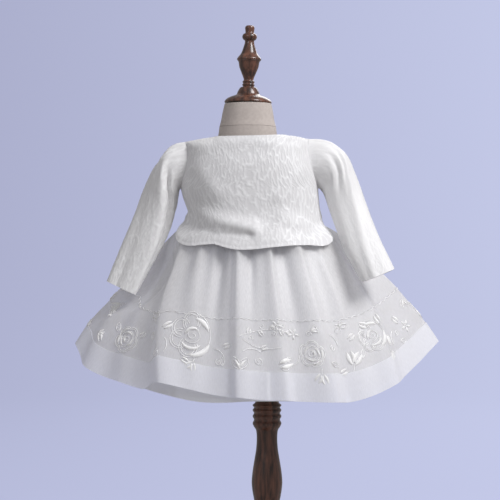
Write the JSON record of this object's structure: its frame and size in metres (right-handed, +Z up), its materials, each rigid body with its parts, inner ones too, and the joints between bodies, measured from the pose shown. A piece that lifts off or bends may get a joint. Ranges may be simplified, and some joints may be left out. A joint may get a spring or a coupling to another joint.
{
  "type": "christening gown on a dress form",
  "caption": "Long-sleeved white christening gown with a brocade top and a wide embroidered organza skirt, on a limbless table-top dress form with a turned wooden post and finial.",
  "frame": {"origin": "centre of the stand's round base, on its underside", "axes": "+Z up, -Y towards the gown's front, +X towards the right as seen from the front"},
  "size_m": [0.5074, 0.2953, 0.7693],
  "materials": {
    "brocade": "ivory-white brocade with an embossed wavy pattern and a soft sheen",
    "organza": "sheer white organza, embroidered on the border and doubled at the hem",
    "satin": "white satin with a soft sheen",
    "linen": "natural beige linen, stretched smooth",
    "wood": "dark brown turned wood, glossy varnish",
    "pearl": "pearl white"
  },
  "bodies": {
    "root": {"form_base": "wood", "form_post": "wood", "form_cap": "wood", "form_torso": "linen", "form_neck": "linen", "bodice_front": "brocade", "bodice_back_left": "brocade", "bodice_back_right": "brocade", "sleeve_left": "brocade", "sleeve_right": "brocade", "button_1": "pearl", "button_2": "pearl", "button_3": "pearl", "button_4": "pearl", "waistband": "satin", "skirt_upper": "organza", "skirt_border": "organza", "hem_band": "organza", "underskirt": "satin"}
  },
  "joints": []
}
